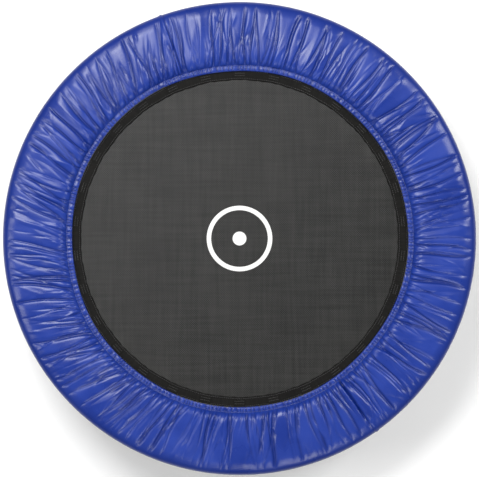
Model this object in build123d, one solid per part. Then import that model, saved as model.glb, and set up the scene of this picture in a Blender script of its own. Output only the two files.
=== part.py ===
from build123d import *
import os
from math import asin, atan2, cos, degrees, hypot, pi, radians, sin, sqrt, tan

# Mini trampoline with fold-away legs. Millimetres, +Z up. The origin is on the floor under the
# middle of the mat, and angle 0 is +X, counted anticlockwise seen from above.

# Overall
overall_diameter = 960.0  # across the padded cover
overall_height = 230.0  # floor to the top of the cover

# Ring tube: curved sections that plug into each other
tube_diameter = 25.4
tube_wall = 1.5
section_count = 3
first_joint_angle = 108.0
spigot_length = 40.0
spigot_clearance = 0.1
swage_length = 4.0  # short thick stretch where the tube narrows to its spigot
butt_gap = 0.4  # seam that shows between two sections
section_screw_diameter = 4.2
section_screw_length = 9.0
section_screw_head_diameter = 8.0
section_screw_head_height = 2.5

# Springs and the holes that they hook into
spring_count = 30
spring_wire = 2.6
spring_diameter = 13.0
spring_turns = 20
spring_coil_length = 78.0  # in place, a little stretched
spring_standoff = 5.0  # from the tube's face to the end of the coil
loop_radius = 4.4  # middle of the wire, on the mat's side
loop_sweep = 280.0
shank_drop = 3.0  # the shank's height below the spring's axis, and the hook's bend radius
spring_hole_diameter = 7.5
hook_clearance = 0.3
bar_margin = 0.3  # the bars across the coil's ends are this much thicker than the wire, all round

# Triangular wire rings between mat and springs
vee_wire = 3.0
vee_half_width = 20.0
vee_depth = 20.0
vee_corner_radius = 3.0
vee_tip_radius = 4.0
vee_butt_gap = 0.8
vee_clearance = 0.3

# Mat, its folded edge binding and its webbing tabs
mat_thickness = 1.2
binding_thickness = 1.2
binding_width = 22.0
bar_to_binding = 1.1  # from the wire ring's bar to the mat's edge
tab_thickness = 1.2
tab_width = 24.0
tab_length = 18.0

# Padded cover
cover_width = 140.0  # from the rim to the opening over the mat
skin_thickness = 1.0
skin_gap = 0.3
seam_angles = (109.0, 305.0)
foam_thickness = 6.0
foam_count = 6
foam_joint_gap = 0.6
foam_first_joint_angle = 30.0
foam_over_springs = 0.5
lip_width = 14.0  # flat lip inside the foam, with the inner elastic under it
wrap_below = 44.0  # degrees that the skin carries on round the tube, below its middle
inner_elastic_diameter = 3.0
outer_elastic_diameter = 4.0
elastic_inset = 0.5  # the inner elastic sits this far back from the edge of the lip

# Fold-away legs
leg_count = 6
leg_bay = 1  # spring bays between the first tube joint and the first leg
leg_diameter = 22.0
leg_wall = 1.5
leg_splay = 3.0  # degrees outward from straight down
pivot_inset = 13.0  # from the tube's middle line in to the leg's pivot
leg_above_pivot = 11.0
plug_flange = 1.5
plug_skirt = 6.0
plug_clearance = 0.1
foot_wall = 3.0
foot_length = 30.0
foot_base = 6.0
foot_clearance = 0.1

# Leg brackets and their fasteners
bracket_wall = 3.0
bracket_side_gap = 0.5
saddle_depth = 1.0  # how far the bracket's top is hollowed to seat the tube
swing_clearance = 0.6
bracket_inner_reach = 14.0
bracket_outer_reach = 4.5
bracket_corner_radius = 4.0
bolt_diameter = 6.0
bolt_clearance = 0.25
bolt_head_width = 10.0
bolt_head_height = 4.0
bolt_past_nut = 1.5
washer_diameter = 12.5
washer_thickness = 1.2
washer_clearance = 0.2
nut_height = 5.0
stop_pin_diameter = 6.0
stop_pin_below_pivot = 26.0
stop_pin_gap = 0.3
stop_pin_head_diameter = 10.0
stop_pin_head_height = 2.0
stop_pin_edge = 6.5

# Worked out from the sizes above
tube_radius = tube_diameter / 2
tube_bore = tube_radius - tube_wall
spring_radius = spring_diameter / 2
wrap_radius = max(tube_radius + skin_gap, spring_radius + foam_over_springs + foam_thickness)
ring_radius = overall_diameter / 2 - skin_thickness - wrap_radius
ring_height = overall_height - skin_thickness - wrap_radius
tube_face = ring_radius - tube_radius
bay_angle = 360 / spring_count
section_angle = 360 / section_count

coil_outer_end = tube_face - spring_standoff
coil_inner_end = coil_outer_end - spring_coil_length
loop_centre = coil_inner_end - loop_radius
vee_tip = loop_centre - (loop_radius - spring_wire / 2 - vee_wire / 2 - hook_clearance)
vee_half_angle = atan2(vee_half_width, vee_depth)
vee_bar = vee_tip + vee_tip_radius * (1 / sin(vee_half_angle) - 1) - vee_depth
binding_edge = vee_bar - vee_wire / 2 - bar_to_binding
binding_half = mat_thickness / 2 + binding_thickness
tab_eye = max(binding_half, vee_wire / 2 + vee_clearance)

opening_radius = overall_diameter / 2 - cover_width
foam_inner = opening_radius + lip_width
foam_bottom = wrap_radius - foam_thickness
foam_outer = ring_radius - sqrt(max(0.0, (tube_radius + skin_gap) ** 2 - foam_bottom ** 2))

leg_radius = leg_diameter / 2
bracket_half_inner = leg_radius + bracket_side_gap
bracket_half_outer = bracket_half_inner + bracket_wall
bracket_top = ring_height - tube_radius + saddle_depth
bracket_ceiling = bracket_top - bracket_wall
leg_swing = hypot(leg_above_pivot + plug_flange, leg_radius)
pivot_height = bracket_ceiling - swing_clearance - leg_swing
pivot_radius = ring_radius - pivot_inset
pivot_to_floor = pivot_height / cos(radians(leg_splay))
first_leg_angle = first_joint_angle + leg_bay * bay_angle


def at_angle(angle, shape):
    return Rot(0, 0, angle) * shape


def around(shape, count, first_angle):
    """Copies of one shape, evenly spaced about the trampoline's axis."""
    return [at_angle(first_angle + i * 360 / count, shape) for i in range(count)]


def ring_profile(outline):
    """A closed outline of (radius, height above the ring's middle) points, as a face."""
    points = [(r, 0, ring_height + h) for r, h in outline]
    return make_face(Polyline(*points, close=True))


def ring_disc(radius, at_radius, height=0.0):
    """A round section of something that runs round the ring."""
    plane = Plane(origin=(at_radius, 0, ring_height + height), x_dir=(1, 0, 0), z_dir=(0, -1, 0))
    return plane * Circle(radius)


def turned(profile, start=0.0, sweep_angle=360.0):
    return at_angle(start, revolve(profile, Axis.Z, sweep_angle))


def rod(radius, low, high):
    return Pos(0, 0, low) * Cylinder(radius, high - low, align=(Align.CENTER, Align.CENTER, Align.MIN))


def arc_angle(length):
    """The angle of an arc of this length on the ring tube's middle line."""
    return degrees(length / ring_radius)


def write(name, shape):
    shape.label = name
    export_step(shape, f"parts/{name}.step")


def write_group(name, solids):
    write(name, Compound(children=[s for shape in solids for s in shape.solids()]))


# Ring frame


def section_screw_angle():
    return arc_angle(spigot_length / 2)


def frame_section():
    """One curved tube from angle 0, with its open end there and its spigot at the far end."""
    spigot_outer = tube_bore - spigot_clearance
    spigot_bore = spigot_outer - tube_wall
    tube_end = section_angle - arc_angle(butt_gap)
    swage_start = tube_end - arc_angle(swage_length)
    spigot_end = section_angle + arc_angle(spigot_length)
    tube = ring_disc(tube_radius, ring_radius) - ring_disc(tube_bore, ring_radius)
    swage = ring_disc(tube_radius, ring_radius) - ring_disc(spigot_bore, ring_radius)
    spigot = ring_disc(spigot_outer, ring_radius) - ring_disc(spigot_bore, ring_radius)
    body = turned(tube, 0, swage_start)
    body += turned(swage, swage_start, tube_end - swage_start)
    body += turned(spigot, tube_end, spigot_end - tube_end)

    hole_length = tube_wall + tube_radius / 2
    spring_hole = Pos(tube_face - 1, 0, ring_height - shank_drop) * Rot(0, 90, 0)
    spring_hole *= Cylinder(spring_hole_diameter / 2, hole_length, align=(Align.CENTER, Align.CENTER, Align.MIN))
    for i in range(round(section_angle / bay_angle)):
        body -= at_angle((i + 0.5) * bay_angle, spring_hole)
    screw_hole = Pos(ring_radius, 0, ring_height - tube_radius / 2)
    screw_hole *= Cylinder(section_screw_diameter / 2, tube_radius + 2)
    for end in (0, section_angle):
        body -= at_angle(end + section_screw_angle(), screw_hole)
    return body


def section_screw():
    """Self-tapping screw, driven up through the tube's underside into the spigot."""
    head = Cylinder(
        section_screw_head_diameter / 2,
        section_screw_head_height,
        align=(Align.CENTER, Align.CENTER, Align.MAX),
    )
    shank = Cylinder(
        section_screw_diameter / 2, section_screw_length, align=(Align.CENTER, Align.CENTER, Align.MIN)
    )
    screw = fillet(head.edges().group_by(Axis.Z)[0], section_screw_head_height / 3) + shank
    return Pos(ring_radius, 0, ring_height - tube_radius) * screw


# Springs, wire rings and mat


def wire_along(path, wire_diameter):
    section = Plane(origin=path @ 0, z_dir=path % 0) * Circle(wire_diameter / 2)
    return sweep(section, path=path)


def spring():
    """Coil as a plain tube with a bar across each end, a loop on one bar and a hook on the other.

    The tube's wall is as thick as it takes to hold the wound wire's volume of steel.
    """
    length = spring_coil_length
    wire_length = spring_turns * pi * (spring_diameter - spring_wire)
    wire_volume = pi * (spring_wire / 2) ** 2 * wire_length
    coil_bore = sqrt(spring_radius ** 2 - wire_volume / (pi * length))
    bar_half = spring_wire / 2 + bar_margin
    bar = Box(2 * bar_half, spring_radius + coil_bore, 2 * bar_half)
    body = rod(spring_radius, -bar_half, length + bar_half) - rod(coil_bore, -bar_half, length + bar_half)
    body += bar + Pos(0, 0, length) * bar

    def loop_point(turn):
        across = loop_radius * sin(radians(turn))
        along = loop_radius * (cos(radians(turn)) - 1)
        return (0, across, along)

    loop = ThreePointArc(loop_point(loop_sweep), loop_point(loop_sweep / 2), loop_point(0))

    bend = shank_drop
    knee = bend * (1 - sin(radians(45)))
    bend_height = tube_face + tube_wall + spring_wire / 2 + 2 * hook_clearance - coil_inner_end
    first_bend = ThreePointArc(
        (0, 0, length),
        (0, -bend * sin(radians(45)), length + knee),
        (0, -bend, length + bend),
    )
    shank = Line((0, -bend, length + bend), (0, -bend, bend_height))
    second_bend = ThreePointArc(
        (0, -bend, bend_height),
        (0, -bend * cos(radians(45)), bend_height + bend * sin(radians(45))),
        (0, 0, bend_height + bend),
    )
    tip = Line((0, 0, bend_height + bend), (0, bend, bend_height + bend))
    hook_path = Wire([first_bend, shank, second_bend, tip])
    body += wire_along(loop, spring_wire)
    body += wire_along(hook_path, spring_wire)
    lying = Plane(origin=(coil_inner_end, 0, ring_height), x_dir=(0, 1, 0), z_dir=(1, 0, 0))
    return lying * body


def vee_ring():
    """Triangle of wire lying flat: its bar in the mat's tab, its tip in the spring's loop."""
    corner = vee_bar + vee_depth
    path = FilletPolyline(
        (vee_bar, vee_butt_gap / 2, ring_height),
        (vee_bar, vee_half_width, ring_height),
        (corner, 0, ring_height),
        (vee_bar, -vee_half_width, ring_height),
        (vee_bar, -vee_butt_gap / 2, ring_height),
        radius=[vee_corner_radius, vee_tip_radius, vee_corner_radius],
    )
    return wire_along(path, vee_wire)


def ring_tab():
    """Webbing that loops round the wire ring's bar and is sewn down above and below the mat."""
    inner_end = vee_bar - tab_length
    height = binding_half + tab_thickness

    def band(half_height, eye):
        leg = ring_profile(
            [(inner_end, -half_height), (vee_bar, -half_height), (vee_bar, half_height), (inner_end, half_height)]
        )
        return leg + ring_disc(eye, vee_bar)

    profile = band(height, tab_eye + tab_thickness) - band(binding_half, tab_eye)
    return extrude(profile, tab_width / 2, dir=(0, 1, 0), both=True)


def mat_fabric():
    radius = binding_edge - binding_thickness
    return Pos(0, 0, ring_height) * Cylinder(radius, mat_thickness)


def edge_binding():
    """Webbing folded over the mat's edge, one solid with a slot for the mat."""
    inner = binding_edge - binding_width
    slot_end = binding_edge - binding_thickness
    half = binding_half
    slot = mat_thickness / 2
    return turned(
        ring_profile(
            [
                (inner, -half), (binding_edge, -half), (binding_edge, half), (inner, half),
                (inner, slot), (slot_end, slot), (slot_end, -slot), (inner, -slot),
            ]
        )
    )


# Padded cover


def cover_panel(start, sweep_angle):
    """One cloth panel: lip, step over the foam's edge, flat top, and the wrap round the tube."""
    outer = wrap_radius + skin_thickness
    bevel = foam_thickness
    shift = skin_thickness * tan(radians(22.5))

    def on_wrap(radius, below):
        turn = radians(below)
        return (ring_radius + radius * cos(turn), 0, ring_height - radius * sin(turn))

    def point(r, h):
        return (r, 0, ring_height + h)

    under = Polyline(
        point(opening_radius, foam_bottom),
        point(foam_inner, foam_bottom),
        point(foam_inner + bevel, wrap_radius),
        point(ring_radius, wrap_radius),
    )
    under_wrap = ThreePointArc(
        under @ 1, on_wrap(wrap_radius, (wrap_below - 90) / 2), on_wrap(wrap_radius, wrap_below)
    )
    over = Polyline(
        point(opening_radius, foam_bottom + skin_thickness),
        point(foam_inner - shift, foam_bottom + skin_thickness),
        point(foam_inner + bevel - shift, outer),
        point(ring_radius, outer),
    )
    over_wrap = ThreePointArc(over @ 1, on_wrap(outer, (wrap_below - 90) / 2), on_wrap(outer, wrap_below))
    ends = [Line(under @ 0, over @ 0), Line(under_wrap @ 1, over_wrap @ 1)]
    profile = make_face(under.edges() + over.edges() + [under_wrap, over_wrap] + ends)
    return turned(profile, start, sweep_angle)


def cover_foam():
    """One curved pad of the ring, bevelled on its inner edge, starting at angle 0."""
    profile = ring_profile(
        [
            (foam_inner, foam_bottom),
            (foam_outer, foam_bottom),
            (foam_outer, wrap_radius),
            (foam_inner + foam_thickness, wrap_radius),
        ]
    )
    half_gap = degrees(foam_joint_gap / 2 / foam_inner)
    return turned(profile, half_gap, 360 / foam_count - 2 * half_gap)


def inner_elastic():
    radius = inner_elastic_diameter / 2
    return turned(ring_disc(radius, opening_radius + elastic_inset + radius, foam_bottom - radius))


def outer_elastic():
    """Cord in the hem of the cover, tucked under the tube just past the end of the skin."""
    radius = outer_elastic_diameter / 2
    reach = wrap_radius + radius
    turn = radians(wrap_below) + asin(radius / reach)
    return turned(ring_disc(radius, ring_radius + reach * cos(turn), -reach * sin(turn)))


# Legs, modelled at angle 0 with the pivot along Y


def on_leg(shape):
    """Places a shape made about the pivot, with the leg running down local Z."""
    return Pos(pivot_radius, 0, pivot_height) * Rot(0, -leg_splay, 0) * shape


def across(shape):
    """Turns a shape made along Z to lie along +Y."""
    return Rot(-90, 0, 0) * shape


def leg_tube():
    low = foot_base - pivot_to_floor
    tube = rod(leg_radius, low, leg_above_pivot) - rod(leg_radius - leg_wall, low, leg_above_pivot)
    bolt_hole = across(Cylinder(bolt_diameter / 2 + bolt_clearance, leg_diameter * 2))
    return on_leg(tube - bolt_hole)


def leg_plug():
    skirt_radius = leg_radius - leg_wall - plug_clearance
    skirt = rod(skirt_radius, leg_above_pivot - plug_skirt, leg_above_pivot)
    skirt -= rod(skirt_radius - leg_wall, leg_above_pivot - plug_skirt, leg_above_pivot)
    flange = rod(leg_radius, leg_above_pivot, leg_above_pivot + plug_flange)
    top_edge = flange.edges().group_by(Axis.Z)[-1]
    return on_leg(fillet(top_edge, plug_flange / 2) + skirt)


def foot_cap():
    """Rubber cap, cut level where it stands on the floor."""
    bottom = -pivot_to_floor
    outer = rod(leg_radius + foot_wall, bottom - foot_base, bottom + foot_length)
    outer = fillet(outer.edges().group_by(Axis.Z)[-1], foot_wall / 3)
    cap = on_leg(outer - rod(leg_radius + foot_clearance, bottom + foot_base, bottom + foot_length))
    floor = Pos(pivot_radius, 0, 0) * Box(
        200, 200, 4 * foot_base, align=(Align.CENTER, Align.CENTER, Align.MAX)
    )
    return cap - floor


def stop_pin_place():
    """The stop pin's middle: just outside the leg and well below the pivot."""
    turn = radians(leg_splay)
    out = leg_radius + stop_pin_gap + stop_pin_diameter / 2
    down = stop_pin_below_pivot
    r = pivot_radius + out * cos(turn) + down * sin(turn)
    z = pivot_height + out * sin(turn) - down * cos(turn)
    return r, z


def leg_bracket():
    """Folded channel, open below, its top hollowed to the ring tube and welded there."""
    pin_r, pin_z = stop_pin_place()
    inner = pivot_radius - bracket_inner_reach
    outline = Polyline(
        (inner, 0, bracket_top),
        (ring_radius + bracket_outer_reach, 0, bracket_top),
        (pin_r + stop_pin_edge, 0, pin_z + stop_pin_edge),
        (pin_r + stop_pin_edge, 0, pin_z - stop_pin_edge),
        (pin_r - stop_pin_edge, 0, pin_z - stop_pin_edge),
        (inner, 0, pivot_height - bolt_head_width),
        close=True,
    )
    plate = make_face(outline)
    lower_corners = plate.vertices().filter_by(lambda v: v.Z < bracket_top - 1)
    plate = fillet(lower_corners, bracket_corner_radius)
    block = extrude(plate, bracket_half_outer, dir=(0, 1, 0), both=True)
    fold_edges = block.edges().filter_by(Axis.X).group_by(Axis.Z)[-1]
    block = fillet(fold_edges, bracket_wall)
    depth = bracket_ceiling - pin_z + 4 * stop_pin_edge
    inside = Pos(pivot_radius, 0, bracket_ceiling) * Box(
        200, 2 * bracket_half_inner, depth, align=(Align.CENTER, Align.CENTER, Align.MAX)
    )
    bolt_hole = across(Cylinder(bolt_diameter / 2 + bolt_clearance, 4 * bracket_half_outer))
    pin_hole = across(Cylinder(stop_pin_diameter / 2, 4 * bracket_half_outer))
    ring_tube = turned(ring_disc(tube_radius, ring_radius), -10, 20)
    body = block - inside - ring_tube
    body -= Pos(pivot_radius, 0, pivot_height) * bolt_hole
    return body - Pos(pin_r, 0, pin_z) * pin_hole


def hexagon(width, low, high):
    flat = RegularPolygon(width / 2, 6, major_radius=False)
    return Pos(0, 0, low) * extrude(flat, high - low)


def at_pivot(shape):
    return Pos(pivot_radius, 0, pivot_height) * across(shape)


def pivot_bolt():
    seat = bracket_half_outer + washer_thickness
    head = hexagon(bolt_head_width, -seat - bolt_head_height, -seat)
    return at_pivot(head + rod(bolt_diameter / 2, -seat, seat + nut_height + bolt_past_nut))


def pivot_washers():
    near = bracket_half_outer
    ring = rod(washer_diameter / 2, near, near + washer_thickness)
    ring -= rod(bolt_diameter / 2 + washer_clearance, near, near + washer_thickness)
    return [at_pivot(ring), at_pivot(Rot(180, 0, 0) * ring)]


def pivot_nut():
    seat = bracket_half_outer + washer_thickness
    nut = hexagon(bolt_head_width, seat, seat + nut_height)
    return at_pivot(nut - rod(bolt_diameter / 2, seat, seat + nut_height))


def stop_pin():
    pin_r, pin_z = stop_pin_place()
    half = bracket_half_outer
    head = rod(stop_pin_head_diameter / 2, half, half + stop_pin_head_height)
    head = fillet(head.edges().group_by(Axis.Z)[-1], stop_pin_head_height / 2)
    pin = rod(stop_pin_diameter / 2, -half, half) + head + Rot(180, 0, 0) * head
    return Pos(pin_r, 0, pin_z) * across(pin)


os.makedirs("parts", exist_ok=True)

for i, section in enumerate(around(frame_section(), section_count, first_joint_angle)):
    write(f"frame_section_{i + 1}", section)
write_group(
    "section_screws",
    around(section_screw(), section_count, first_joint_angle + section_screw_angle()),
)

first_spring_angle = first_joint_angle + bay_angle / 2
write_group("springs", around(spring(), spring_count, first_spring_angle))
write_group("vee_rings", around(vee_ring(), spring_count, first_spring_angle))
write_group("ring_tabs", around(ring_tab(), spring_count, first_spring_angle))
write("mat_fabric", mat_fabric())
write("edge_binding", edge_binding())

seam_ends = list(seam_angles[1:]) + [seam_angles[0] + 360]
for i, (start, end) in enumerate(zip(seam_angles, seam_ends)):
    write(f"cover_panel_{i + 1}", cover_panel(start, end - start))
for i, pad in enumerate(around(cover_foam(), foam_count, foam_first_joint_angle)):
    write(f"cover_foam_{i + 1}", pad)
write("inner_elastic", inner_elastic())
write("outer_elastic", outer_elastic())

leg_pieces = {
    "leg_bracket": leg_bracket(),
    "leg_tube": leg_tube(),
    "leg_plug": leg_plug(),
    "foot_cap": foot_cap(),
}
for name, shape in leg_pieces.items():
    for i, copy in enumerate(around(shape, leg_count, first_leg_angle)):
        write(f"{name}_{i + 1}", copy)
write_group("pivot_bolts", around(pivot_bolt(), leg_count, first_leg_angle))
write_group("pivot_nuts", around(pivot_nut(), leg_count, first_leg_angle))
washer_pairs = [around(ring, leg_count, first_leg_angle) for ring in pivot_washers()]
write_group("pivot_washers", washer_pairs[0] + washer_pairs[1])
write_group("stop_pins", around(stop_pin(), leg_count, first_leg_angle))
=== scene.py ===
import bpy
import numpy as np
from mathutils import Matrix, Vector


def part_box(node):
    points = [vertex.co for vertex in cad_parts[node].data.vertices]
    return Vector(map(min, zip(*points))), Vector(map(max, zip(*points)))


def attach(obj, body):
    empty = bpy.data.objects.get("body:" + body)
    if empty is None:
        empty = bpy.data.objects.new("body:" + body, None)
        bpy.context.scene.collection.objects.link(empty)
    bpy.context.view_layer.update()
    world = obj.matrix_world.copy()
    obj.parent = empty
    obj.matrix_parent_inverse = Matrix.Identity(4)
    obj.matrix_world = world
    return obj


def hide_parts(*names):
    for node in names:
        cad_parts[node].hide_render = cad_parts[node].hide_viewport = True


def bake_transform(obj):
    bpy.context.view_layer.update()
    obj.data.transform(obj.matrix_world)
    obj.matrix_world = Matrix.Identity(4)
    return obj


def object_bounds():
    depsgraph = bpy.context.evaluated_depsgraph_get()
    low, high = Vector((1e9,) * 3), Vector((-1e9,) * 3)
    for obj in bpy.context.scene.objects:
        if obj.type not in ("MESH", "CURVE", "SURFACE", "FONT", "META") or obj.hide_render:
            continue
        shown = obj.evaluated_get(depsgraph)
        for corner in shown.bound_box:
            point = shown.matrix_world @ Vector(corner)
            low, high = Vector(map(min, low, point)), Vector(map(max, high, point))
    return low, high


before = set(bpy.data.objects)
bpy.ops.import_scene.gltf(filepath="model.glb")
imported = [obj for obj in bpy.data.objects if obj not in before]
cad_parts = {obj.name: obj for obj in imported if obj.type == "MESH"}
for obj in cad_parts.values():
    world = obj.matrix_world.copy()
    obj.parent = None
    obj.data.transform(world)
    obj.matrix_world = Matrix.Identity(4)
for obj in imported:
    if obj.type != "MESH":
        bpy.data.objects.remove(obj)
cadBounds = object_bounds()
mm = 0.001

# sizes read from the frame
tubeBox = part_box("frame_section_1")
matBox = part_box("mat_fabric")
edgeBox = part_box("edge_binding")
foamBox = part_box("cover_foam_1")
ringHeight = (tubeBox[0].z + tubeBox[1].z) / 2
tubeRadius = (tubeBox[1].z - tubeBox[0].z) / 2
coverRadius = (cadBounds[1][0] - cadBounds[0][0]) / 2
coverTop = cadBounds[1][2] - ringHeight
ringRadius = coverRadius - coverTop
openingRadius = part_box("inner_elastic")[1].x - 3.5 * mm
matRadius = matBox[1].x
edgeRadius = edgeBox[1].x
edgeHalf = (edgeBox[1].z - edgeBox[0].z) / 2
foamBottom = foamBox[0].z - ringHeight
foamTop = foamBox[1].z - ringHeight
tau = 2 * np.pi


def gridFaces(rows, cols, closeCols):
    # quad corners of a rows x cols grid of points, and each corner's unwrapped (col, row)
    i, j = np.meshgrid(np.arange(rows - 1), np.arange(cols if closeCols else cols - 1), indexing="ij")
    i, j = i.ravel(), j.ravel()
    row = np.stack([i, i, i + 1, i + 1], 1)
    col = np.stack([j, j + 1, j + 1, j], 1)
    return row * cols + col % cols, np.stack([col, row], 2).astype(float)


def loopFaces(rows, cols):
    # quad corners of a grid that closes both ways, with each corner's unwrapped column and row
    i, j = np.meshgrid(np.arange(rows), np.arange(cols), indexing="ij")
    i, j = i.ravel(), j.ravel()
    row = np.stack([i, i, i + 1, i + 1], 1)
    col = np.stack([j, j + 1, j + 1, j], 1)
    return row % rows * cols + col % cols, col, row


def makeMesh(name, verts, quads, tris=None, uv=None, smooth=True):
    # one mesh from whole arrays of corners and faces, placed by its own points
    tris = np.zeros((0, 3), int) if tris is None else tris
    mesh = bpy.data.meshes.new(name)
    loops = np.concatenate([quads.ravel(), tris.ravel()])
    sizes = np.concatenate([np.full(len(quads), 4), np.full(len(tris), 3)])
    mesh.vertices.add(len(verts))
    mesh.vertices.foreach_set("co", np.asarray(verts, float).ravel())
    mesh.loops.add(len(loops))
    mesh.loops.foreach_set("vertex_index", loops.astype(np.int32))
    mesh.polygons.add(len(sizes))
    mesh.polygons.foreach_set("loop_start", (np.cumsum(sizes) - sizes).astype(np.int32))
    mesh.polygons.foreach_set("use_smooth", np.full(len(sizes), smooth))
    if uv is not None:
        layer = mesh.uv_layers.new(name="alongAndAcross")
        full = np.zeros((len(loops), 2))
        full[: uv.size // 2] = uv.reshape(-1, 2)
        layer.data.foreach_set("uv", full.ravel())
    mesh.update(calc_edges=True)
    mesh.validate()
    obj = bpy.data.objects.new(name, mesh)
    bpy.context.collection.objects.link(obj)
    return obj


def polar(radius, angle, height):
    # points at a radius and angle about the trampoline's axis, height counted from the ring's middle
    radius, angle, height = np.broadcast_arrays(radius, angle, height)
    return np.stack([radius * np.cos(angle), radius * np.sin(angle), height + ringHeight], -1)


def tubePart(path, side, radius, sides=8, capped=True):
    # circles of the given radius carried along a path; side is a vector across the path at each point
    tangent = np.gradient(path, axis=0)
    tangent /= np.linalg.norm(tangent, axis=1, keepdims=True)
    side = np.broadcast_to(side, path.shape)
    side = side - (side * tangent).sum(1, keepdims=True) * tangent
    side /= np.linalg.norm(side, axis=1, keepdims=True)
    other = np.cross(tangent, side)
    turn = np.arange(sides) * tau / sides
    ring = np.cos(turn)[None, :, None] * side[:, None] + np.sin(turn)[None, :, None] * other[:, None]
    verts = (path[:, None] + radius * ring).reshape(-1, 3)
    quads, _ = gridFaces(len(path), sides, True)
    quads = quads[:, ::-1] if not capped else quads
    tris = np.zeros((0, 3), int)
    if capped:
        first, last = len(verts), len(verts) + 1
        k = np.arange(sides)
        base = (len(path) - 1) * sides
        tris = np.concatenate([
            np.stack([np.full(sides, first), (k + 1) % sides, k], 1),
            np.stack([np.full(sides, last), base + k, base + (k + 1) % sides], 1),
        ])
        verts = np.concatenate([verts, path[:1], path[-1:]])
    return verts, quads, tris


def joinParts(parts):
    # several (verts, quads, tris) as one
    starts = np.cumsum([0] + [len(p[0]) for p in parts[:-1]])
    verts = np.concatenate([p[0] for p in parts])
    quads = np.concatenate([p[1] + s for p, s in zip(parts, starts)])
    tris = np.concatenate([p[2] + s for p, s in zip(parts, starts)])
    return verts, quads, tris


def aboutZ(verts, angle):
    # points turned about the upright axis
    c, s = np.cos(angle), np.sin(angle)
    x, y, z = verts[:, 0], verts[:, 1], verts[:, 2]
    return np.stack([x * c - y * s, x * s + y * c, z], 1)


def repeated(part, angles):
    # one part copied to each angle about the axis
    return joinParts([(aboutZ(part[0], a), part[1], part[2]) for a in angles])


# materials


def newMaterial(name, roughness=0.5, metallic=0.0, sheen=0.0, coat=0.0, specular=0.5):
    mat = bpy.data.materials.new(name)
    mat.use_nodes = True
    shader = mat.node_tree.nodes["Principled BSDF"]
    shader.inputs["Roughness"].default_value = roughness
    shader.inputs["Metallic"].default_value = metallic
    shader.inputs["Sheen Weight"].default_value = sheen
    shader.inputs["Coat Weight"].default_value = coat
    shader.inputs["Coat Roughness"].default_value = 0.25
    shader.inputs["Specular IOR Level"].default_value = specular
    return mat, mat.node_tree.nodes, mat.node_tree.links, shader


def noise(nodes, links, where, scale, detail=4.0, stretch=None):
    tex = nodes.new("ShaderNodeTexNoise")
    tex.inputs["Scale"].default_value = scale
    tex.inputs["Detail"].default_value = detail
    if stretch:
        mapping = nodes.new("ShaderNodeMapping")
        mapping.inputs["Scale"].default_value = stretch
        links.new(where, mapping.inputs["Vector"])
        where = mapping.outputs["Vector"]
    links.new(where, tex.inputs["Vector"])
    return tex.outputs["Fac"]


def ramp(nodes, links, fac, low, high, dark, light):
    node = nodes.new("ShaderNodeMapRange")
    node.inputs["From Min"].default_value = low
    node.inputs["From Max"].default_value = high
    node.inputs["To Min"].default_value = dark
    node.inputs["To Max"].default_value = light
    links.new(fac, node.inputs["Value"])
    return node.outputs["Result"]


def mathNode(nodes, links, operation, a, b=None):
    node = nodes.new("ShaderNodeMath")
    node.operation = operation
    for socket, value in zip(node.inputs, (a, b)):
        if isinstance(value, (int, float)):
            socket.default_value = value
        elif value is not None:
            links.new(value, socket)
    return node.outputs["Value"]


def blendColour(nodes, links, fac, dark, light):
    node = nodes.new("ShaderNodeMix")
    node.data_type = "RGBA"
    for socket, value in ((node.inputs[6], dark), (node.inputs[7], light)):
        if isinstance(value, tuple):
            socket.default_value = (*value, 1)
        else:
            links.new(value, socket)
    links.new(fac, node.inputs[0])
    return node.outputs[2]


def addBump(nodes, links, shader, height, distance, strength=1.0):
    node = nodes.new("ShaderNodeBump")
    node.inputs["Distance"].default_value = distance
    node.inputs["Strength"].default_value = strength
    links.new(height, node.inputs["Height"])
    links.new(node.outputs["Normal"], shader.inputs["Normal"])


def grainFinish(name, dark, light, patch, grain, grainHeight, rough, **shaderValues):
    # two tones in soft patches, a fine grain in the bump, and roughness that follows the patches
    mat, nodes, links, shader = newMaterial(name, **shaderValues)
    where = nodes.new("ShaderNodeTexCoord").outputs["Object"]
    cloud = noise(nodes, links, where, patch)
    fine = noise(nodes, links, where, grain, 2.0)
    mixed = mathNode(nodes, links, "ADD", mathNode(nodes, links, "MULTIPLY", fine, 0.35), cloud)
    fac = ramp(nodes, links, mixed, 0.5, 0.85, 0.0, 1.0)
    links.new(blendColour(nodes, links, fac, dark, light), shader.inputs["Base Color"])
    links.new(ramp(nodes, links, cloud, 0.3, 0.7, rough[0], rough[1]), shader.inputs["Roughness"])
    addBump(nodes, links, shader, fine, grainHeight)
    return mat


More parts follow.
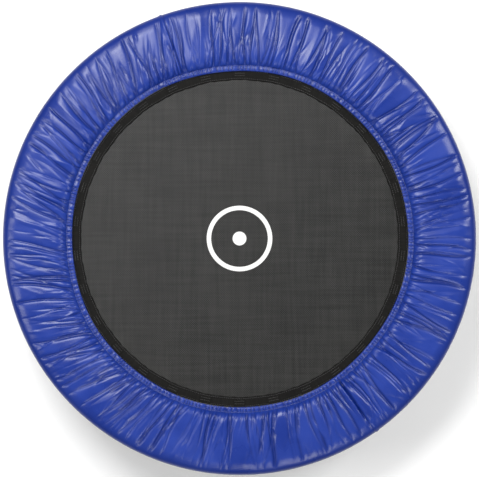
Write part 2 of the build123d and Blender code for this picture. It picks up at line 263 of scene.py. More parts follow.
def wovenFinish(name, dark, light, pitch, bumpHeight, rough, coords="Object", mark=None, **shaderValues):
    # over-and-under yarns: ridges along x where sin(x)sin(y) is positive and along y elsewhere
    mat, nodes, links, shader = newMaterial(name, **shaderValues)
    coord = nodes.new("ShaderNodeTexCoord")
    where = coord.outputs[coords]
    split = nodes.new("ShaderNodeSeparateXYZ")
    links.new(where, split.inputs["Vector"])
    waves = []
    for axis in "XY":
        phase = mathNode(nodes, links, "MULTIPLY", split.outputs[axis], tau / pitch)
        waves.append(mathNode(nodes, links, "SINE", phase))
    over = mathNode(nodes, links, "MULTIPLY", *waves)
    height = ramp(nodes, links, over, -1.0, 1.0, 0.0, 1.0)
    fibre = noise(nodes, links, where, 900.0, 2.0)
    cloud = noise(nodes, links, where, 9.0)
    # the tone is lighter on the yarn crowns and darker in the weave hollows, which is painted shade; the
    # fibre, cloud and yarn streaks are the yarns' own tone
    tone = mathNode(nodes, links, "ADD", mathNode(nodes, links, "MULTIPLY", height, 0.55), mathNode(
        nodes, links, "MULTIPLY", fibre, 0.3))
    tone = mathNode(nodes, links, "ADD", tone, mathNode(nodes, links, "MULTIPLY", cloud, 0.3))
    for stretch in ((9.0, 170.0, 1.0), (170.0, 9.0, 1.0)):  # single yarns, lighter or darker along
        yarns = noise(nodes, links, where, 1.0, 2.0, stretch)
        tone = mathNode(nodes, links, "ADD", tone, mathNode(nodes, links, "MULTIPLY", yarns, 0.55))
    fac = ramp(nodes, links, tone, 0.85, 1.42, 0.0, 1.0)
    colour = blendColour(nodes, links, fac, dark, light)
    if mark:
        colour = mark(nodes, links, split, colour, height)
    links.new(colour, shader.inputs["Base Color"])
    links.new(ramp(nodes, links, height, 0.0, 1.0, rough[1], rough[0]), shader.inputs["Roughness"])
    addBump(nodes, links, shader, height, bumpHeight)
    return mat


centreMark = dict(ringRadius=0.062, ringWidth=0.009, dotRadius=0.014, colour=(0.72, 0.72, 0.70))


def printedMark(nodes, links, split, colour, height):
    # a plain ring and dot printed on the yarns, thin in the hollows of the weave
    x2 = mathNode(nodes, links, "MULTIPLY", split.outputs["X"], split.outputs["X"])
    y2 = mathNode(nodes, links, "MULTIPLY", split.outputs["Y"], split.outputs["Y"])
    far = mathNode(nodes, links, "SQRT", mathNode(nodes, links, "ADD", x2, y2))
    off = mathNode(nodes, links, "SUBTRACT", far, centreMark["ringRadius"])
    off = mathNode(nodes, links, "ABSOLUTE", off)
    ring = mathNode(nodes, links, "LESS_THAN", off, centreMark["ringWidth"] / 2)
    dot = mathNode(nodes, links, "LESS_THAN", far, centreMark["dotRadius"])
    ink = mathNode(nodes, links, "MAXIMUM", ring, dot)
    topSide = mathNode(nodes, links, "GREATER_THAN", split.outputs["Z"], ringHeight - 1.0 * mm)
    ink = mathNode(nodes, links, "MULTIPLY", ink, topSide)
    ink = mathNode(nodes, links, "MULTIPLY", ink, ramp(nodes, links, height, 0.0, 0.5, 0.7, 1.0))
    return blendColour(nodes, links, ink, colour, centreMark["colour"])


def vinylFinish():
    # blue vinyl in two tones, with painted shade in the creases, gather valleys and grooves, and painted
    # shade where the cloth turns over the rim
    mat, nodes, links, shader = newMaterial("coverVinyl", specular=0.34)
    where = nodes.new("ShaderNodeTexCoord").outputs["Object"]
    creaseShadeNode = nodes.new("ShaderNodeAttribute")
    creaseShadeNode.attribute_name = "crease"
    rimShadeNode = nodes.new("ShaderNodeAttribute")
    rimShadeNode.attribute_name = "rim"
    crease, rim = creaseShadeNode.outputs["Fac"], rimShadeNode.outputs["Fac"]
    cloud = noise(nodes, links, where, 14.0)
    fine = noise(nodes, links, where, 1400.0, 2.0)
    fac = ramp(nodes, links, cloud, 0.3, 0.7, 0.0, 1.0)
    blue = blendColour(nodes, links, fac, (0.0062, 0.0235, 0.190), (0.0110, 0.036, 0.255))
    # painted shade: the blue goes darker where the cloth is pinched into creases, gather valleys and grooves
    blue = blendColour(nodes, links, crease, blue, (0.0030, 0.0160, 0.145))
    # painted shade where the cloth turns over the rim
    rimShade = mathNode(nodes, links, "MULTIPLY", rim, 0.7)
    blue = blendColour(nodes, links, rimShade, blue, (0.0045, 0.017, 0.150))
    links.new(blue, shader.inputs["Base Color"])
    links.new(ramp(nodes, links, cloud, 0.3, 0.7, 0.24, 0.36), shader.inputs["Roughness"])
    addBump(nodes, links, shader, fine, 0.06 * mm)
    return mat


coverVinyl = vinylFinish()
foamCell = grainFinish("foamCell", (0.62, 0.62, 0.60), (0.82, 0.82, 0.80), 30.0, 900.0, 0.5 * mm, (0.8, 0.95))
powderCoat = grainFinish("powderCoat", (0.012, 0.012, 0.014), (0.030, 0.030, 0.033), 25.0, 1100.0, 0.06 * mm,
                         (0.32, 0.5), coat=0.2)
zincPlate = grainFinish("zincPlate", (0.42, 0.42, 0.40), (0.68, 0.68, 0.66), 90.0, 700.0, 0.04 * mm,
                        (0.25, 0.45), metallic=1.0)
footRubber = grainFinish("footRubber", (0.014, 0.014, 0.014), (0.035, 0.034, 0.033), 60.0, 800.0, 0.15 * mm,
                         (0.6, 0.85))
plugPlastic = grainFinish("plugPlastic", (0.016, 0.016, 0.017), (0.032, 0.032, 0.034), 70.0, 1200.0,
                          0.08 * mm, (0.4, 0.55))
threadFinish = grainFinish("seamThread", (0.020, 0.038, 0.20), (0.040, 0.065, 0.30), 200.0, 2500.0, 0.1 * mm,
                           (0.55, 0.7), sheen=0.3)
blackThread = grainFinish("blackThread", (0.012, 0.012, 0.012), (0.035, 0.035, 0.035), 200.0, 2500.0,
                          0.1 * mm, (0.5, 0.7), sheen=0.3)
matWeave = wovenFinish("matWeave", (0.0010, 0.0010, 0.0009), (0.022, 0.022, 0.0205), 4.4 * mm, 0.35 * mm,
                       (0.30, 0.42), mark=printedMark, specular=0.26)
webbing = wovenFinish("webbing", (0.0006, 0.0006, 0.0006), (0.0085, 0.008, 0.007), 2.6 * mm, 0.35 * mm,
                      (0.6, 0.85), coords="UV", specular=0.15)
elasticBraid = wovenFinish("elasticBraid", (0.010, 0.010, 0.010), (0.045, 0.045, 0.045), 1.2 * mm, 0.2 * mm,
                           (0.6, 0.8), coords="UV", sheen=0.2)
print("materials made")


def dress(obj, mat, body, slot, *nodes):
    obj.data.materials.append(mat)
    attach(obj, body)
    if nodes:
        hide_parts(*nodes)
    return obj


# padded cover

cover = dict(
    seamAngles=(109.0, 305.0),
    columns=2700,
    # each family: how many, height range (below zero is a sharp crease), width range, reach range, spread
    folds=(
        dict(count=196, height=(-5.2, -1.8), width=(1.2, 2.3), reach=(60, 190), spread=0.009, wander=0.035),
        dict(count=190, height=(-2.4, -0.8), width=(1.0, 1.8), reach=(14, 50), spread=0.006, wander=0.04),
        dict(count=104, height=(0.8, 2.6), width=(3.4, 6.0), reach=(40, 130), spread=0.035, wander=0.04),
        dict(count=300, height=(-1.8, 1.6), width=(1.4, 3.6), reach=(10, 28), spread=0.0, wander=0.10,
             middle=(22, 112)),
    ),
    lift=3.8 * mm,
    lowest=0.2 * mm,
    # depth below the lift at which the painted crease shade is full
    creaseShadeDepth=2.5 * mm,
    gatherCount=264,
    gatherHeight=0.85 * mm,
    casingWidth=11.5 * mm,
    crown=1.6 * mm,
    seamDepth=3.4 * mm,
    seamRidge=1.5 * mm,
    stitchDepth=1.1 * mm,
    hemWaves=150,
    hemHeight=0.7 * mm,
    padWave=0.8 * mm,
    openingWave=2.0 * mm,
    wrapBelow=62.0,
    wrapPoints=22,
    closeReach=34 * mm,
    closeRows=24,
    farRows=38,
    seed=7,
)


def coverProfile():
    # (radius, height) of the cloth's section: under the casing, round it, over the foam, round the tube
    r0, low = openingRadius, foamBottom
    points = [
        (r0 + 9 * mm, low - 3.6 * mm), (r0 + 4 * mm, low - 3.9 * mm), (r0 + 1 * mm, low - 2.9 * mm),
        (r0, low - 1.2 * mm), (r0 + 1.2 * mm, low + 0.7 * mm), (r0 + 4.5 * mm, low + 1.4 * mm),
        (r0 + cover["casingWidth"], low + 1.0 * mm), (r0 + 16 * mm, low + 3.6 * mm),
        (r0 + 24 * mm, foamTop + 1.0 * mm), (r0 + 36 * mm, foamTop + 1.3 * mm),
        (r0 + 60 * mm, foamTop + 1.2 * mm), (r0 + 90 * mm, foamTop + 1.0 * mm),
        (ringRadius - 8 * mm, coverTop - 0.3 * mm),
    ]
    below = np.radians(np.linspace(-90, cover["wrapBelow"], cover["wrapPoints"]))
    wrap = np.stack([ringRadius + coverTop * np.cos(below), -coverTop * np.sin(below)], 1)
    points = np.concatenate([np.array(points), wrap])
    along = np.concatenate([[0], np.cumsum(np.linalg.norm(np.diff(points, axis=0), axis=1))])
    closeRows = np.linspace(0, cover["closeReach"], cover["closeRows"], endpoint=False)
    fine = np.concatenate([closeRows, np.linspace(cover["closeReach"], along[-1], cover["farRows"])])
    smooth = np.stack([np.interp(fine, along, points[:, k]) for k in (0, 1)], 1)
    for _ in range(2):
        smooth[1:-1] = 0.25 * smooth[:-2] + 0.5 * smooth[1:-1] + 0.25 * smooth[2:]
    stitchAt = along[6]
    return smooth, fine - stitchAt


def coverSurface():
    # section carried round the ring and pushed along its own normal by folds, gathers and creases
    rng = np.random.default_rng(cover["seed"])
    profile, t = coverProfile()
    cols = cover["columns"]
    angle = np.arange(cols) * tau / cols
    slope = np.gradient(profile, axis=0)
    slope /= np.linalg.norm(slope, axis=1, keepdims=True)
    normal = np.stack([-slope[:, 1], slope[:, 0]], 1)
    push = np.zeros((len(t), cols))
    flatLength = ringRadius - openingRadius - cover["casingWidth"]
    share = np.clip(t / flatLength, 0, 1)
    radius = profile[:, 0]

    def lean(a):
        # creases lean a few degrees from the radius, more on one side of the ring
        return np.radians(2.2 - 3.0 * np.cos(a - np.radians(10)))

    def addFold(start, tilt, height, width, reach, middle, spread, wiggle):
        # height times e to the minus distance from the fold's line over its width, fading along the line
        reachCols = int(np.ceil((abs(tilt) + 0.12) / tau * cols))
        picked = (int(start / tau * cols) + np.arange(-reachCols, reachCols + 1)) % cols
        path = start - tilt * share ** 0.8 + 0.006 * np.sin(5 * share + wiggle)
        away = (angle[picked][None, :] - path[:, None] + np.pi) % tau - np.pi
        wide = width + spread * np.clip(t, 0, None)
        power = 1.0 if height < 0 else 1.6
        shape = np.exp(-np.abs(away * radius[:, None] / wide[:, None]) ** power)
        fade = np.exp(-np.abs((t - middle) / reach) ** 2.2)
        push[:, picked] += height * fade[:, None] * shape

    for family in cover["folds"]:
        count = family["count"]
        starts = (np.arange(count) + rng.uniform(-0.36, 0.36, count)) * tau / count
        for start in starts:
            middle = rng.uniform(*family.get("middle", (0, 0))) * mm
            addFold(start, lean(start) + rng.normal(0, family["wander"]), rng.uniform(*family["height"]) * mm,
                    rng.uniform(*family["width"]) * mm, rng.uniform(*family["reach"]) * mm, middle,
                    family["spread"], rng.uniform(0, tau))

    # the cloth stands off the foam between creases; folds start at the stitch line and end before the rim
    outer = 1 - np.clip((t - flatLength * 0.92) / (flatLength * 0.18), 0, 1)
    inner = np.clip((t + 1.5 * mm) / (5 * mm), 0, 1)
    window = inner * inner * (3 - 2 * inner) * outer * outer * (3 - 2 * outer)
    lift = cover["lift"] * (1 - np.exp(-np.clip(t, 0, None) / (7 * mm))) * outer
    push = push * window[:, None] + lift[:, None]
    shortfall = np.minimum(push - cover["lowest"], 0)
    push = np.maximum(push, cover["lowest"]) + 0.12 * shortfall
    push *= np.clip((t + 8 * mm) / (8 * mm), 0, 1)[:, None]
    # painted shade mask: how far the cloth sinks below its lift in the fold creases
    crease = np.clip((lift[:, None] - push) / cover["creaseShadeDepth"], 0, 1) ** 1.25
    # painted shade mask: rises to one over the outer part, where the cloth turns over the tube
    rim = np.broadcast_to(np.clip((t - flatLength * 0.9) / (flatLength * 0.16), 0, 1)[:, None], push.shape)
    push += (cover["crown"] * np.sin(np.pi * np.clip(t / flatLength, 0, 1)) ** 0.8)[:, None]

    # fine gathers over the elastic, wider and weaker ones at the hem
    gather = angle * cover["gatherCount"] + 2.2 * np.sin(17 * angle) + 1.9 * np.sin(41 * angle + 1)
    gather = gather + np.sin(97 * angle)
    inCasing = np.exp(-((t + 4.5 * mm) / (6.5 * mm)) ** 4)
    gatherShape = np.sin(gather) * (0.7 + 0.3 * np.sin(29 * angle))
    push += cover["gatherHeight"] * inCasing[:, None] * gatherShape[None]
    hem = angle * cover["hemWaves"] + 1.9 * np.sin(13 * angle)
    inHem = np.clip((t - flatLength - 24 * mm) / (16 * mm), 0, 1)
    push += cover["hemHeight"] * inHem[:, None] * (1 + np.sin(hem))[None]
    # painted shade in the valleys between the casing gathers
    crease = np.maximum(crease, inCasing[:, None] * np.clip(0.25 - np.sin(gather), 0, 1)[None])
    stitchGroove = np.exp(-(t / (1.3 * mm)) ** 2)
    push -= cover["stitchDepth"] * stitchGroove[:, None]
    # painted shade along the stitch groove
    crease = np.maximum(crease, 0.9 * stitchGroove[:, None])

    # low waves: the pad's thickness and a slightly uneven opening and rim
    slow = 0.5 * np.sin(3 * angle + 0.6) + 0.4 * np.sin(5 * angle + 2) + 0.35 * np.sin(8 * angle + 4)
    push += cover["padWave"] * (np.sin(np.pi * share)[:, None] * slow[None])
    for seam in np.radians(cover["seamAngles"]):
        away = ((angle - seam + np.pi) % tau - np.pi)[None] * radius[:, None]
        overFoam = 1 - np.clip((t - flatLength * 0.78) / (flatLength * 0.16), 0, 1)
        start = np.clip((t + 4 * mm) / (8 * mm), 0, 1)[:, None]
        groove = cover["seamDepth"] * start * np.maximum(overFoam, 0.06)[:, None]
        ridge = cover["seamRidge"] * start
        # painted shade along the seam groove
        crease = np.maximum(crease, np.exp(-(away / (1.5 * mm)) ** 2))
        push -= groove * np.exp(-(away / (1.6 * mm)) ** 2)
        push += ridge * np.exp(-((away - 5 * mm) / (3.2 * mm)) ** 2)

    inward = np.exp(-np.clip(t + 4 * mm, 0, None) / (30 * mm))[:, None]
    r = radius[:, None] + normal[:, :1] * push + cover["openingWave"] * slow[None] * inward
    return polar(r, angle[None], profile[:, 1][:, None] + normal[:, 1:] * push), t, crease, rim


coverPoints, coverAlong, coverCreaseShade, coverRimShade = coverSurface()
coverCols = cover["columns"]
seamCols = [round(a / 360 * coverCols) for a in cover["seamAngles"]]
seamSpans = ((seamCols[0], seamCols[1]), (seamCols[1], seamCols[0] + coverCols))
for number, (first, last) in enumerate(seamSpans, 1):
    picked = np.arange(first, last + 1) % coverCols
    patch = coverPoints[:, picked]
    quads, _ = gridFaces(patch.shape[0], patch.shape[1], False)
    panel = makeMesh(f"cover_panel_cloth_{number}", patch.reshape(-1, 3), quads[:, ::-1])
    # painted crease shade and painted rim shade, stored on the panel for the vinyl's colour
    for name, values in (("crease", coverCreaseShade), ("rim", coverRimShade)):
        shade = panel.data.attributes.new(name, "FLOAT", "POINT")
        shade.data.foreach_set("value", values[:, picked].ravel().astype(np.float32))
    dress(panel, coverVinyl, "frame", "cover_cloth", f"cover_panel_{number}")
print("cover made")

# thread: short stitches that follow the cover a little above its surface


def stitchRow(points, out, length, gap, radius):
    # one flattened capsule per stitch, on a closed or open line of points
    step = np.linalg.norm(np.diff(points, axis=0), axis=1)
    along = np.concatenate([[0], np.cumsum(step)])
    starts = np.arange(0, along[-1] - length, length + gap)
    local = np.array([0.0, 0.22, 0.78, 1.0])
    lift = np.array([-0.4, 0.6, 0.6, -0.4]) * radius
    size = np.array([0.45, 1.0, 1.0, 0.45]) * radius
    places = starts[:, None] + local[None] * length
    centre = np.stack([np.interp(places, along, points[:, k]) for k in range(3)], -1)
    rise = np.stack([np.interp(places, along, out[:, k]) for k in range(3)], -1)
    ahead = centre[:, -1:] - centre[:, :1]
    ahead /= np.linalg.norm(ahead, axis=2, keepdims=True)
    sideways = np.cross(ahead, rise)
    centre = centre + rise * lift[None, :, None]
    turn = np.arange(5) * tau / 5
    ring = np.cos(turn)[:, None] * sideways[:, :, None] + np.sin(turn)[:, None] * rise[:, :, None]
    verts = centre[:, :, None] + ring * size[None, :, None, None]
    quads, _ = gridFaces(4, 5, True)
    ends = np.array([[0, 4, 3], [0, 3, 2], [0, 2, 1], [15, 16, 17], [15, 17, 18], [15, 18, 19]])
    offset = (np.arange(len(starts)) * 20)[:, None, None]
    quads, ends = quads[:, ::-1], ends[:, ::-1]
    return verts.reshape(-1, 3), (quads[None] + offset).reshape(-1, 4), (ends[None] + offset).reshape(-1, 3)


coverStitch = dict(length=3.0 * mm, gap=1.0 * mm, thread=0.45 * mm)
stitchRowIndex = int(np.argmin(np.abs(coverAlong)))
stitchLine = coverPoints[stitchRowIndex]
stitchLine = np.concatenate([stitchLine, stitchLine[:1]])
upward = np.tile([0.0, 0.0, 1.0], (len(stitchLine), 1))
stitches = stitchRow(stitchLine + [0, 0, 0.3 * mm], upward, coverStitch["length"], coverStitch["gap"],
                     coverStitch["thread"])
casingStitches = dress(makeMesh("casing_stitches", *stitches), threadFinish, "frame", "cover_cloth")
print("cover stitches made")

# foam pads under the cloth

foam = dict(columns=90, wander=0.25 * mm, belowCloth=1.0 * mm, inner=17 * mm, innerTop=26 * mm,
            outer=11.2 * mm, firstJoint=30, span=60, gap=0.12)
for number in range(1, 7):
    # a wedge section with rounded corners, carried along the pad's share of the ring
    padTop = foamTop - foam["belowCloth"]
    corners = [(openingRadius + foam["inner"], foamBottom), (ringRadius - foam["outer"], foamBottom),
               (ringRadius - foam["outer"], padTop), (openingRadius + foam["innerTop"], padTop)]
    outline = np.array(corners + corners[:1])
    reach = np.concatenate([[0], np.cumsum(np.linalg.norm(np.diff(outline, axis=0), axis=1))])
    dense = np.linspace(0, reach[-1], 161)[:-1]
    section = np.stack([np.interp(dense, reach, outline[:, k]) for k in (0, 1)], 1)
    for _ in range(3):
        section = 0.25 * np.roll(section, 1, 0) + 0.5 * section + 0.25 * np.roll(section, -1, 0)
    start = np.radians(foam["firstJoint"] + foam["span"] * (number - 1) + foam["gap"] / 2)
    angles = np.linspace(start, start + np.radians(foam["span"] - foam["gap"]), foam["columns"])
    uneven = foam["wander"] * (np.sin(angles * 31 + number) + np.sin(angles * 57))[:, None]
    grid = polar(section[None, :, 0], angles[:, None], section[None, :, 1] - np.abs(uneven) * 0.5)
    quads, _ = gridFaces(len(angles), len(section), True)
    count = len(section)
    k = np.arange(count)
    verts = np.concatenate([grid.reshape(-1, 3), grid[0].mean(0)[None], grid[-1].mean(0)[None]])
    lastRow = (len(angles) - 1) * count
    tris = np.concatenate([
        np.stack([np.full(count, len(verts) - 2), (k + 1) % count, k], 1),
        np.stack([np.full(count, len(verts) - 1), lastRow + k, lastRow + (k + 1) % count], 1),
    ])
    pad = makeMesh(f"foam_pad_{number}", verts, quads[:, ::-1], tris[:, ::-1])
    dress(pad, foamCell, "frame", "foam", f"cover_foam_{number}")
print("foam made")

# elastics

elastics = {
    "inner_elastic": dict(radius=1.5 * mm, inset=2.6 * mm, drop=1.4 * mm),
    "outer_elastic": dict(radius=2.0 * mm),
}
elasticGrid = dict(around=720, across=12)
for name, look in elastics.items():
    # a torus: a small circle of the cord's radius carried round the ring
    low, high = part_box(name)
    around, across = elasticGrid["around"], elasticGrid["across"]
    if name == "inner_elastic":
        at, height = openingRadius + look["inset"], foamBottom - look["drop"]
    else:
        at, height = high.x - look["radius"], (low.z + high.z) / 2 - ringHeight
    turn = (np.arange(across) * tau / across)[:, None]
    grid = polar(at + look["radius"] * np.cos(turn), (np.arange(around) * tau / around)[None],
                 height + look["radius"] * np.sin(turn))
    quads, col, row = loopFaces(across, around)
    uv = np.stack([col * tau * at / around, row * tau * look["radius"] / across], 2)
    cord = makeMesh(name + "_braid", grid.reshape(-1, 3), quads, uv=uv)
    dress(cord, elasticBraid, "frame", "elastic", name)
print("elastics made")

# mat, its edge binding and its tabs

springCount = 30
firstSpringAngle = 114  # degrees, clear of the first tube joint
springAngles = np.radians(firstSpringAngle + np.arange(springCount) * 360 / springCount)
matShape = dict(columns=720, rings=48, scallop=1.4 * mm, ripple=0.5 * mm)


def scallop(angle):
    # the edge is drawn out a little at every wire ring
    return matShape["scallop"] * (np.cos(springCount * (angle - springAngles[0])) - 1) / 2


def matCloth():
    # a disc pulled tight: top and bottom faces that share a rim, rippled a little towards the edge
    angle = np.arange(matShape["columns"]) * tau / matShape["columns"]
    share = np.linspace(0.004, 1, matShape["rings"])
    half = (matBox[1].z - matBox[0].z) / 2
    ripple = matShape["ripple"] * np.cos(springCount * (angle[None] - springAngles[0])) * share[:, None] ** 10
    sag = -1.0 * mm * (1 - share ** 2)[:, None]
    radius = share[:, None] * (matRadius + scallop(angle)[None])
    fade = 1 - np.clip((share - 0.9) / 0.1, 0, 1)[:, None] * 0.9
    top = polar(radius, angle[None], half + ripple * fade + sag)
    bottom = polar(radius, angle[None], -half + ripple * fade + sag)
    grid = np.concatenate([top, bottom[::-1]])
    cols, rows = matShape["columns"], len(grid)
    quads, _ = gridFaces(rows, cols, True)
    verts = np.concatenate([grid.reshape(-1, 3), [[0, 0, ringHeight + half - 1.0 * mm]],
                            [[0, 0, ringHeight - half - 1.0 * mm]]])
    k = np.arange(cols)
    base = (rows - 1) * cols
    tris = np.concatenate([
        np.stack([np.full(cols, len(verts) - 2), k, (k + 1) % cols], 1),
        np.stack([np.full(cols, len(verts) - 1), base + (k + 1) % cols, base + k], 1),
    ])
    return verts, quads[:, ::-1], tris


matPiece = dress(makeMesh("mat_cloth", *matCloth()), matWeave, "mat", "mat_weave", "mat_fabric")

binding = dict(width=22 * mm, thickness=1.2 * mm, rowInset=(3 * mm, 18 * mm), ragged=0.5 * mm)


def bindingPart():
    # a flat U of webbing round the mat's edge, as a closed section carried round the ring
    w, half, thick = binding["width"], edgeHalf, binding["thickness"]
    bend, step = 1.2 * mm, 0.5 * mm
    outer = [(0.0, half), (w * 0.25, half), (w * 0.5, half), (w * 0.75, half), (w - bend, half),
             (w - 0.3 * mm, half - step), (w, 0.0), (w - 0.3 * mm, step - half), (w - bend, -half),
             (w * 0.5, -half), (0.0, -half)]
    fold = w - thick - 1.0 * mm
    inner = [(0.0, thick - half), (w * 0.5, thick - half), (fold, thick - half), (fold, half - thick),
             (w * 0.5, half - thick), (0.0, half - thick)]
    section = np.array(outer + inner)
    cols = 1080
    angle = np.arange(cols) * tau / cols
    stretch = section[:, 0] / w
    radius = edgeRadius - w + section[:, 0][:, None] + scallop(angle)[None] * (0.45 + 0.55 * stretch[:, None])
    ragged = np.sin(83 * angle) + 0.6 * np.sin(147 * angle + 2) + 0.4 * np.sin(29 * angle + 1)
    radius = radius + binding["ragged"] * ragged[None] * (1 - stretch)[:, None]
    pucker = 0.25 * mm * np.sin(angle * 260 + 2 * np.sin(11 * angle))[None] * np.sign(section[:, 1])[:, None]
    grid = polar(radius, angle[None], section[:, 1][:, None] + pucker)
    rows = len(section)
    quads, col, row = loopFaces(rows, cols)
    steps = np.linalg.norm(np.diff(np.concatenate([section, section[:1]]), axis=0), axis=1)
    across = np.concatenate([[0], np.cumsum(steps)])
    uv = np.stack([col * tau * edgeRadius / cols, across[row]], 2)
    return grid.reshape(-1, 3), quads, uv


bindVerts, bindQuads, bindUv = bindingPart()
bindingPiece = makeMesh("edge_webbing", bindVerts, bindQuads[:, ::-1], uv=bindUv[:, ::-1])
dress(bindingPiece, webbing, "mat", "webbing", "edge_binding")

rows = []
angle = np.linspace(0, tau, 2161)
for inset in binding["rowInset"]:
    line = polar(edgeRadius - binding["width"] + inset + scallop(angle) * 0.6, angle, edgeHalf + 0.25 * mm)
    rows.append(stitchRow(line, np.tile([0.0, 0.0, 1.0], (len(line), 1)), 3.2 * mm, 1.2 * mm, 0.4 * mm))
bindingStitches = dress(makeMesh("webbing_stitches", *joinParts(rows)), blackThread, "mat", "webbing")

tab = dict(width=24 * mm, thickness=1.2 * mm, length=18 * mm, barInset=3 * mm,
           rowInset=(1.5 * mm, 6.5 * mm), rowShare=0.42)
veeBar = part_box("ring_tabs")[1].y - tab["barInset"]


def tabPart():
    # webbing looped round the wire ring's bar: outer path out, inner path back, carried across its width
    half, thick = edgeHalf, tab["thickness"]
    turn = np.linspace(np.pi / 2, -np.pi / 2, 13)
    flat = np.linspace(0, 1, 5)[:-1]
    start = veeBar - tab["length"]
    outTop = np.stack([start + flat * tab["length"], np.full(4, half + thick)], 1)
    outArc = np.stack([veeBar + (half + thick) * np.cos(turn), (half + thick) * np.sin(turn)], 1)
    outLow = outTop[::-1] * [1, -1]
    inLow = np.stack([start + flat * tab["length"], np.full(4, -half - 0.02 * mm)], 1)
    inArc = np.stack([veeBar + half * np.cos(turn[::-1]), half * np.sin(turn[::-1])], 1)
    inTop = inLow[::-1] * [1, -1]
    section = np.concatenate([outTop, outArc, outLow, inLow, inArc, inTop])
    across = np.linspace(-0.5, 0.5, 9) * tab["width"]
    count = len(section)
    x = np.broadcast_to(section[:, 0], (9, count))
    z = np.broadcast_to(section[:, 1], (9, count)) + ringHeight
    y = np.broadcast_to(across[:, None], (9, count))
    verts = np.stack([x, y, z], 2).reshape(-1, 3)
    quads, _ = gridFaces(9, count, True)
    # the two cut edges: a strip between the outer and the inner path
    half0 = count // 2
    k = np.arange(half0 - 1)
    strip = np.stack([k, k + 1, count - 2 - k, count - 1 - k], 1)
    return verts, np.concatenate([quads, strip[:, ::-1], strip + 8 * count]), np.zeros((0, 3), int)


tabVerts, tabQuads, _ = repeated(tabPart(), springAngles)
# webbing direction: across the tab and along it
flatUv = tabVerts[tabQuads]
around = np.arctan2(flatUv[..., 1], flatUv[..., 0])
out = np.hypot(flatUv[..., 0], flatUv[..., 1])
tabUv = np.stack([around * veeBar, out], 2)
tabPiece = makeMesh("ring_tab_webbing", tabVerts, tabQuads, uv=tabUv, smooth=False)
dress(tabPiece, webbing, "mat", "webbing", "ring_tabs")
boxStitch = []
for inset in tab["rowInset"]:
    start = veeBar - tab["length"] + inset
    y = np.linspace(-tab["rowShare"], tab["rowShare"], 12) * tab["width"]
    line = np.stack([np.full(12, start), y, np.full(12, ringHeight + edgeHalf + tab["thickness"])], 1)
    boxStitch.append(stitchRow(line, np.tile([0.0, 0.0, 1.0], (12, 1)), 2.6 * mm, 0.8 * mm, 0.4 * mm))
tabStitches = makeMesh("tab_stitches", *repeated(joinParts(boxStitch), springAngles))
dress(tabStitches, blackThread, "mat", "webbing")
print("mat made")

# springs: wound wire with a loop for the wire ring and a hook through the tube's hole

spring = dict(wire=2.6 * mm, diameter=13 * mm, turns=20, coilLength=78 * mm, standoff=5 * mm,
              loopRadius=4.4 * mm, loopSweep=280.0, drop=3 * mm, hookReach=0.6 * mm, wall=1.5 * mm)


def springPart():
    # coil, crossings, loop and hook, each a tube whose path is a circle arc, a helix or a line
    coilRadius = (spring["diameter"] - spring["wire"]) / 2
    face = ringRadius - tubeRadius
    outerEnd = face - spring["standoff"]
    innerEnd = outerEnd - spring["coilLength"]
    wire = spring["wire"] / 2
    q = spring["drop"]
    turn = np.linspace(0, tau * spring["turns"], 16 * spring["turns"] + 1)
    ride = innerEnd + turn / turn[-1] * spring["coilLength"]
    coil = np.stack([ride, coilRadius * np.cos(turn), coilRadius * np.sin(turn)], 1)
    radial = np.stack([0 * turn, np.cos(turn), np.sin(turn)], 1)
    a = np.linspace(0, np.pi, 10)

    def crossing(x, sign):
        y = coilRadius / 2 * (1 + np.cos(a))
        return np.stack([0 * a + x, y, sign * coilRadius / 2 * np.sin(a)], 1)

    b = np.radians(np.linspace(0, spring["loopSweep"], 26))
    loopRadius = spring["loopRadius"]
    loop = np.stack([innerEnd + loopRadius * (np.cos(b) - 1), 0 * b, loopRadius * np.sin(b)], 1)
    c = np.linspace(0, np.pi / 2, 7)
    bendAt = face + spring["wall"] + wire + spring["hookReach"]
    hook = np.concatenate([
        np.stack([outerEnd + q * (1 - np.cos(c)), 0 * c, -q * np.sin(c)], 1),
        np.stack([bendAt + q * np.sin(c), 0 * c, -q * np.cos(c)], 1),
        [[bendAt + q, 0, q]],
    ])
    acrossAxis, alongAxis = np.array([0.0, 1, 0]), np.array([1.0, 0, 0])
    paths = ((coil, radial), (crossing(innerEnd, -1), alongAxis), (crossing(outerEnd, 1), alongAxis),
             (loop, acrossAxis), (hook, acrossAxis))
    verts, quads, tris = joinParts([tubePart(path, side, wire, 7) for path, side in paths])
    return verts + [0, 0, ringHeight], quads, tris


springVerts, springQuads, springTris = springPart()
for number, a in enumerate(springAngles, 1):
    piece = makeMesh(f"spring_{number}", aboutZ(springVerts, a), springQuads, springTris)
    piece.data.materials.append(zincPlate)
    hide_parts("springs")
    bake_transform(piece)
print("springs made")

# finishes on the frame's own nodes

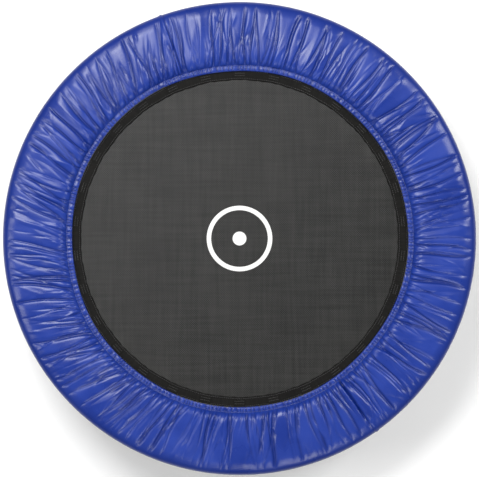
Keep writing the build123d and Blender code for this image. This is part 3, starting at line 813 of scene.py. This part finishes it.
nodeFinish = {"frame_section": powderCoat, "leg_bracket": powderCoat, "leg_tube": powderCoat,
              "section_screws": zincPlate, "pivot": zincPlate, "stop_pins": zincPlate, "vee_rings": zincPlate,
              "foot_cap": footRubber, "leg_plug": plugPlastic}
for name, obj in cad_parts.items():
    for start, finishUsed in nodeFinish.items():
        if name.startswith(start):
            node = bpy.data.objects[name] if isinstance(obj, str) else obj
            node.material_slots[0].material = finishUsed

# floor, light and camera

stage = dict(floorTone=0.93, world=0.30, cameraHeight=4.5, viewWidth=0.971)
bpy.ops.mesh.primitive_plane_add(size=12)
floor = bpy.context.object
floor.name = "floor"
floorMat, nodes, links, shader = newMaterial("paleFloor", roughness=0.9)
shader.inputs["Base Color"].default_value = (stage["floorTone"],) * 3 + (1,)
floor.data.materials.append(floorMat)
world = bpy.data.worlds.new("studio")
bpy.context.scene.world = world
world.use_nodes = True
world.node_tree.nodes["Background"].inputs["Color"].default_value = (1, 1, 1, 1)
world.node_tree.nodes["Background"].inputs["Strength"].default_value = stage["world"]


def softLight(name, place, size, power):
    light = bpy.data.lights.new(name, "AREA")
    light.size = size
    light.energy = power
    obj = bpy.data.objects.new(name, light)
    obj.location = place
    bpy.context.collection.objects.link(obj)
    direction = -obj.location.normalized()
    obj.rotation_euler = direction.to_track_quat("-Z", "Y").to_euler()


lights = dict(
    keyLight=((-0.75, 1.25, 3.0), 1.2, 84.0),
    rightLight=((1.9, 0.9, 2.4), 0.8, 42.0),
    leftLight=((-2.0, -0.4, 2.4), 0.8, 22.0),
    lowLight=((0.5, -2.0, 2.5), 0.8, 20.0),
)
for name, (place, size, power) in lights.items():
    softLight(name, place, size, power)
cameraData = bpy.data.cameras.new("camera")
camera = bpy.data.objects.new("camera", cameraData)
bpy.context.collection.objects.link(camera)
camera.location = (0, 0, stage["cameraHeight"])
cameraData.lens = cameraData.sensor_width * (stage["cameraHeight"] - ringHeight) / stage["viewWidth"]
bpy.context.scene.camera = camera
bpy.context.scene.view_settings.view_transform = "Standard"
